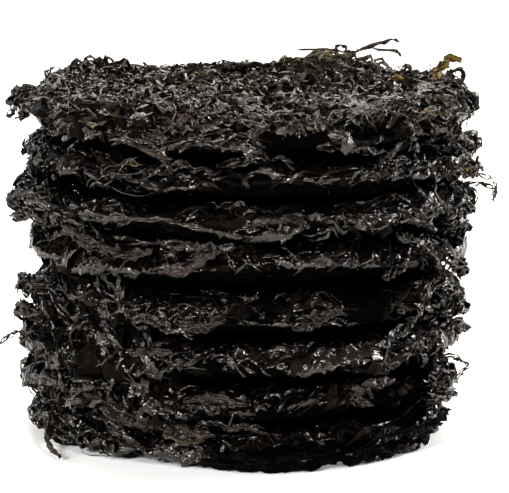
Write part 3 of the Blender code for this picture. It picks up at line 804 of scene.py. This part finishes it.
# Each: its width in mm, strands, how far they part in mm, tone, and its route from root to tip in mm
LOOSE_FRONDS = (
    (4.6, 5, 1.4, AMBER, (78, 14, 147), (84, 18, 150), (86, 20, 157), (90, 20, 163), (96, 19, 161)),
    (1.2, 2, 0.6, BROWN, (86, 20, 152), (83, 20, 157), (81, 20, 159)),
    (3, 3, 0.4, BLACK, (89, 2, 148), (89, 3, 154), (90, 3, 158), (94, 3, 160), (97, 4, 157.5),
                       (96, 5, 153), (92, 5, 151)),
    (4, 4, 0.4, BLACK, (92, -6, 147), (96, -6, 151), (100, -6, 150), (102, -6, 145), (100, -6, 140),
                       (95, -6, 139), (93, -6, 143)),
    (1, 1, 0.3, BLACK, (94, -2, 156), (95, -3, 148), (98, -5, 142), (97, -7, 134)),
    (2.2, 2, 0.3, BLACK, (28, 84, 149), (44, 88, 155), (56, 87, 159), (68, 84, 164), (71, 84, 162)),
    (1.8, 2, 0.3, BLACK, (24, 88, 158), (40, 88, 158), (48, 85, 157), (52, 86, 158)),
    (1.6, 2, 0.3, BLACK, (44, 86, 157), (41, 86, 159), (44, 86, 161), (47, 86, 158), (44, 86, 157)),
    (1.6, 2, 0.3, BROWN, (56, 88, 161), (60, 88, 158), (70, 86, 158), (72, 84, 155)),
    (3, 5, 2, OLIVE, (22, 86, 152), (32, 86, 156), (42, 84, 156), (48, 80, 152)),
    (3, 4, 2, AMBER, (60, 22, 150), (67, 20, 152), (74, 16, 151)),
    (3, 4, 2, BROWN, (66, 50, 150), (74, 46, 153), (80, 40, 151)),
    (3, 5, 2.2, OLIVE, (12, -62, 150), (24, -64, 150), (36, -60, 150)),
    (3, 4, 1.6, AMBER, (-26, 40, 150), (-20, 40, 152), (-15, 38, 151)),
    (4.5, 6, 1.8, BLACK, (-84, 0, 148), (-96, -2, 151), (-103, -1, 148), (-99, 1, 144)),
    (2, 4, 1.4, BROWN, (-92, 2, 148), (-99, 0, 144), (-103, 0, 141), (-106, 0, 139)),
    (1.8, 3, 1.2, BLACK, (-82, 20, 150), (-87, 22, 154), (-90, 24, 156)),
    (2, 4, 1.2, BROWN, (88, -2, 104), (101, -3, 110), (111, -4, 108), (108, -6, 102)),
    (1.2, 3, 1.2, OLIVE, (90, -4, 112), (101, -4, 114), (108, -5, 112), (111, -5, 110), (109, -6, 104)),
    (1.8, 3, 1.2, BLACK, (-86, -6, 46), (-97, -9, 46), (-104, -14, 43), (-110, -18, 39)),
    (1.8, 3, 1, OLIVE, (84, -6, 32), (94, -10, 33), (99, -12, 29), (92, -10, 23)),
    (3.4, 3, 0.5, BROWN, (-76, -36, 12), (-86, -45, 9), (-86, -60, 4.5), (-79, -76, 1.6)),
    (1.2, 2, 1, BLACK, (-80, -18, 82), (-88, -20, 85), (-95, -18, 85)),
    (1.4, 3, 1, BROWN, (-54, -86, 104), (-40, -92, 109), (-23, -97, 106), (-6, -100, 102), (10, -100, 100)),
    (1.2, 2, 0.8, BLACK, (-49, -88, 96), (-36, -94, 99), (-19, -98, 98)),
    (1.6, 3, 1, BROWN, (-56, -86, 139), (-51, -90, 141), (-45, -92, 140), (-40, -94, 141)),
    (1.4, 2, 0.8, OLIVE, (-52, -92, 131), (-47, -95, 132), (-43, -96, 131)),
    (3.2, 3, 1, AMBER, (86, -32, 117), (91, -33, 120), (98, -30, 119)),
    (1.4, 3, 1, OLIVE, (-67, -72, 145), (-64, -74, 145), (-59, -76, 147)),
    (2.4, 6, 2.2, 0.9, (70, -64, 147), (77, -59, 148), (84, -51, 147), (89, -42, 145)),
    (1.4, 2, 0.8, AMBER, (74, -62, 148), (78, -59, 149), (81, -56, 148)),
    (1, 2, 0.8, BLACK, (73, -44, 144), (73, -56, 142), (71, -68, 139), (69, -74, 134)),
    (3, 9, 4, BROWN, (-90, 28, 149), (-82, 44, 153), (-72, 58, 154), (-60, 68, 153), (-46, 76, 149)),
    (2.6, 8, 4, BLACK, (-88, 16, 149), (-76, 36, 152), (-60, 50, 152), (-44, 60, 149)),
    (3, 8, 3.4, OLIVE, (8, 86, 149), (24, 86, 152.5), (40, 84, 153.5), (56, 78, 152.5), (72, 64, 149)),
    (2.6, 8, 4, BROWN, (14, 74, 150), (34, 74, 153), (54, 66, 152), (70, 50, 149)),
    (4, 7, 3, BLACK, (-76, -18, 149), (-88, -14, 149), (-98, -8, 147), (-101, 0, 143)),
    (3, 6, 2.5, BROWN, (-80, -30, 146), (-92, -22, 145), (-99, -12, 142), (-98, -4, 138)),
    (2.4, 8, 3.5, BLACK, (-84, -44, 74), (-95, -28, 70), (-99, -10, 66), (-98, 8, 60)),
    (2.4, 8, 3.5, BROWN, (-84, -44, 56), (-95, -30, 58), (-100, -12, 54), (-99, 6, 50)),
    (2.4, 8, 3.5, BLACK, (-80, -48, 40), (-92, -32, 44), (-98, -14, 42), (-97, 4, 38)),
    (2.4, 8, 3.5, BLACK, (-84, -44, 112), (-97, -28, 108), (-103, -10, 103), (-100, 8, 98)),
    (2.4, 7, 3, BROWN, (-86, -36, 98), (-96, -24, 100), (-101, -6, 96), (-99, 8, 92)),
    (2.4, 8, 3, BLACK, (88, -36, 79), (94, -22, 77), (96, -8, 73), (95, 6, 68)),
    (2.4, 8, 3.5, BLACK, (84, -40, 66), (92, -26, 64), (94, -8, 60), (92, 8, 55)),
    (2.4, 8, 3.5, BROWN, (82, -44, 46), (91, -28, 50), (95, -10, 47), (93, 8, 43)),
    (2.4, 8, 3.5, BLACK, (80, -46, 28), (89, -30, 28), (91, -12, 25), (90, 6, 22)),
    (2.4, 8, 3.5, BLACK, (84, -40, 108), (94, -26, 104), (98, -8, 100), (96, 8, 96)),
    (2.6, 8, 3.5, BLACK, (86, -42, 134), (95, -28, 132), (101, -10, 129), (99, 6, 124)),
    (2.6, 8, 3.5, BROWN, (86, -44, 120), (96, -28, 120), (101, -12, 118), (99, 6, 114)),
)
# Ones at the foot, made mostly matt as painted shade, given likewise
SHADED_FOOT = dict(LOOSE, matt=0.9)
FOOT_FRONDS = (
    (4, 7, 1.8, BLACK, (-24, -86, 4), (-8, -94, 3), (8, -98, 2.5), (24, -95, 2.5), (38, -88, 4)),
    (3.6, 5, 1.5, BLACK, (-16, -88, 8), (-4, -95, 6), (10, -98, 5), (26, -93, 7)),
    (3.6, 6, 2.2, BLACK, (58, -72, 3), (71, -59, 4), (79, -47, 6), (84, -34, 9)),
    (3.2, 5, 1.6, BLACK, (60, -76, 12), (74, -62, 10), (84, -46, 12), (89, -32, 14)),
)
# Glossy films on the front: width, strands, how far they part, and a route of x and z seen from the front
FRONT_FILMS = (
    (4, 4, 1.6, (-46, 142), (-34, 139.5), (-22, 137)), (4, 4, 1.8, (-42, 141), (-35, 137), (-32, 127)),
    (2.4, 4, 2.4, (-40, 128), (-26, 131), (-10, 128)), (2.4, 4, 2.4, (-12, 130), (6, 134), (20, 131)),
    (3.6, 4, 1.5, (44, 121), (56, 125.5), (68, 129)), (3.4, 3, 1.2, (55, 128), (61, 133), (67, 139)),
    (4, 4, 1.6, (46, 45), (59, 50.5), (72, 57)), (4, 4, 1.6, (56, 38), (66, 43.5), (77, 50)),
    (3.6, 4, 1.6, (75, 36), (79, 45), (82, 54)), (3.6, 3, 1.4, (66, 107), (75, 101), (82, 96)),
    (4.2, 4, 1.6, (64, 98), (74, 90), (82, 84)), (4.2, 3, 1.5, (-78, 24), (-66, 31), (-54, 37)),
    (4.2, 4, 1.6, (-48, 41), (-34, 44), (-18, 49)), (3.6, 4, 1.6, (58, 79), (68, 83), (78, 89)),
    (3.2, 3, 1.4, (30, 138), (45, 136), (60, 134)), (4.5, 4, 1.5, (-64, 29), (-50, 21.5), (-38, 16)),
    (3.2, 4, 1.5, (56, 107), (70, 107), (82, 108)), (4, 3, 1.4, (-16, 63), (-4, 71), (6, 76)),
    (3.4, 4, 1.5, (-36, 138), (-24, 139), (-8, 139)), (3.2, 4, 1.4, (-10, 102), (7, 106), (24, 110)),
    (4.2, 4, 1.6, (-40, 19), (-26, 16), (-12, 13)), (4.2, 4, 1.6, (-38, 98), (-22, 96), (-8, 94)),
    (4, 3, 1.5, (-32, 87), (-19, 92), (-4, 97)), (3.6, 3, 1.5, (-57, 38), (-58, 31), (-56, 25)),
    (4, 4, 1.6, (-42, 28), (-26, 28), (-10, 27)), (3.8, 4, 1.6, (-64, 21), (-54, 14), (-45, 8)),
    (4, 4, 1.6, (-48, 65), (-35, 62), (-20, 59)), (3.6, 4, 1.6, (-44, 20), (-30, 18), (-14, 17)),
    (3.6, 4, 1.6, (-20, 22), (-6, 19), (8, 17)), (3, 3, 1.4, (-36, 24), (-28, 18), (-20, 12)),
)
# Broader films among them, with a soft sheen: width, tone and route
BROAD = dict(LOOSE, cells=(24, 6), width=(0.9, 1.1), curl=(-0.9, 0.5), roll=(0.1, 0.6), frill=(0.2, 0.6),
             satin=1)
BROAD_PART = 0.5
BROAD_FILMS = (
    (7, BLACK, (-40, 86), (-28, 88), (-18, 92), (-10, 96)), (6, BLACK, (-62, 94), (-50, 92), (-38, 94)),
    (4.5, BLACK, (-70, 30), (-60, 24), (-50, 19), (-42, 18)), (7, BLACK, (-30, 64), (-18, 62), (-8, 66)),
    (6, BLACK, (20, 60), (30, 64), (42, 68)), (5, 0.9, (-34, 15), (-25, 12), (-16, 13)),
    (4, 0.92, (-30, 19), (-22, 16), (-14, 15)), (6, BLACK, (-26, 31), (-12, 33), (2, 30)),
    (7, BLACK, (76, 66), (80, 72), (84, 78)), (6, BLACK, (-50, 49), (-42, 52), (-30, 50)),
    (3, BROWN, (-52, 139), (-40, 136), (-30, 132)), (7, BLACK, (-78, 100), (-68, 96), (-58, 92)),
    (6, BLACK, (44, 30), (54, 34), (64, 34)), (3.6, BLACK, (2, 108), (14, 110), (26, 107)),
)
FILMS_OUT, BROAD_OUT = 4.5 * MM, 6.5 * MM  # out from the skin they are looked up on
# Bunches that bridge the gaps at the right and lie along the foot, each with its kind first
BRIDGING_FRONDS = (
    (LOOSE, 2.4, 8, 3, BLACK, (86, -38, 96), (94, -24, 95), (97, -10, 92), (95, 4, 88)),
    (LOOSE, 2.4, 8, 3, BLACK, (84, -40, 58), (93, -26, 58), (97, -10, 56), (95, 6, 52)),
    (LOOSE, 2.4, 8, 3, BLACK, (78, -44, 19), (87, -30, 20), (91, -14, 18), (89, 2, 14)),
    (SHADED_FOOT, 3.4, 8, 2.4, BLACK, (28, -90, 4), (42, -86, 4), (54, -79, 4), (66, -66, 4)),
)


def loose_sheets(draw, kind, width, strands, apart, tone, *route):
    """Strands that run together along a route of points, given in millimetres."""
    rows = kind["cells"][0] + 1
    path = spaced(np.array(route) * MM, np.linspace(0, 1, len(route)), rows)
    for _ in range(ROUTE_SMOOTHING):
        path[1:-1] = (path[:-2] + 2 * path[1:-1] + path[2:]) / 4
    ahead = np.gradient(path, axis=0)
    length = np.linalg.norm(ahead, axis=1).sum()
    ahead /= np.linalg.norm(ahead, axis=1, keepdims=True)
    out = path * (1, 1, 0) / np.linalg.norm(path[:, :2], axis=1, keepdims=True) + (0, 0, 0.6)
    across = np.cross(out, ahead)
    across /= np.linalg.norm(across, axis=1, keepdims=True)
    out = np.cross(ahead, across)
    one = {name: draw.uniform(*kind[name], strands)[:, None] for name in MEASURES}
    one["width"] = one["width"] * width * MM
    run = length / MM
    half, side, rise = cross_section(draw, one, (strands, 1), kind["cells"], run)
    side = side + apart * MM * waves(draw, strands, 1, rows, run / PART_WAVE)[:, :, None]
    rise = rise + apart * MM * waves(draw, strands, 1, rows, run / PART_WAVE)[:, :, None]
    path, across, out = path[:, None], across[:, None], out[:, None]
    top = path + side[..., None] * across + rise[..., None] * out
    top[..., 2] = np.maximum(top[..., 2], LOWEST)
    shade = np.clip(tone + draw.uniform(-TONE_SPREAD, TONE_SPREAD, strands), 0, 1)
    return closed_sheets(draw, top, np.full((strands, 1), length), half, shade, kind["matt"], kind["satin"])


def front_route(route, out):
    """The points of the skin, a little way out, that show at those places from the front, in millimetres."""
    near = skin["points"].reshape(-1, 3) + out * skin["normals"].reshape(-1, 3)
    near = near[near[:, 1] < 0] / MM
    return [near[np.hypot(near[:, 0] - x, near[:, 2] - z).argmin()] for x, z in route]


draw = np.random.default_rng(LOOSE_SEED)
batches = [loose_sheets(draw, LOOSE, *one) for one in LOOSE_FRONDS]
batches += [loose_sheets(draw, SHADED_FOOT, *one) for one in FOOT_FRONDS]
for width, strands, apart, *route in FRONT_FILMS:
    batches.append(loose_sheets(draw, LOOSE, width, strands, apart, BLACK, *front_route(route, FILMS_OUT)))
for width, tone, *route in BROAD_FILMS:
    batches.append(loose_sheets(draw, BROAD, width, 1, BROAD_PART, tone, *front_route(route, BROAD_OUT)))
batches += [loose_sheets(draw, *one) for one in BRIDGING_FRONDS]
strays = joined_mesh("laver_loose_fronds", batches)
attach(strays, "root")

# ------------------
# The studio, for the picture only: a plain white floor, a soft white sky and large soft lights, which give
# the sheen that the films have in the photograph.
bpy.ops.object.select_all(action="DESELECT")
bpy.ops.mesh.primitive_plane_add(size=12, location=(0, 0, 0))
floor = bpy.context.active_object
floor.name = "floor"
paper = new_material("white_paper_sweep")
finish_surface(paper, Base_Color=hex_colour("#f2f1ef"), Roughness=0.9)
floor.data.materials.append(paper)

SKY = 0.11
world = bpy.data.worlds.new("studio")
world.use_nodes = True
sky = world.node_tree.nodes["Background"].inputs
sky["Color"].default_value = hex_colour("#ffffff")
sky["Strength"].default_value = SKY
bpy.context.scene.world = world

# Each light's name, degrees round from the front and up, distance, size in metres, radiance and colour
LIGHTS = (
    ("front_left", -28, 20, 4.5, (1.0, 1.0), 96.0, "#ffffff"),
    ("left", -95, 20, 4.5, (0.9, 1.2), 26.0, "#ffffff"),
    ("front_right", 22, 26, 4.5, (0.7, 0.7), 80.0, "#ffffff"),
    ("right", 115, 22, 4.2, (1.2, 1.5), 40.0, "#ffffff"),
    ("rear", 168, 38, 4.2, (3.2, 1.8), 2.3, "#fff4e8"),
    ("rear_high", 172, 68, 4.2, (3.0, 1.8), 12.0, "#fff4e8"),
    ("backdrop", 180, 24, 6.0, (8.0, 3.0), 2.4, "#ffffff"),
)
LIT_POINT = Vector((0, 0, 0.08))
for name, around, up, distance, size, radiance, code in LIGHTS:
    lamp = bpy.data.lights.new(name, "AREA")
    lamp.shape = "RECTANGLE"
    lamp.size, lamp.size_y = size
    lamp.energy = radiance * math.pi * size[0] * size[1]
    lamp.color = hex_colour(code)[:3]
    lamp_object = new_object(name, lamp)
    around, up = math.radians(around), math.radians(up)
    offset = Vector((math.sin(around) * math.cos(up), -math.cos(around) * math.cos(up), math.sin(up)))
    lamp_object.location = LIT_POINT + distance * offset
    lamp_object.rotation_euler = (-offset).to_track_quat("-Z", "Y").to_euler()
bpy.context.scene.view_settings.view_transform = "Standard"
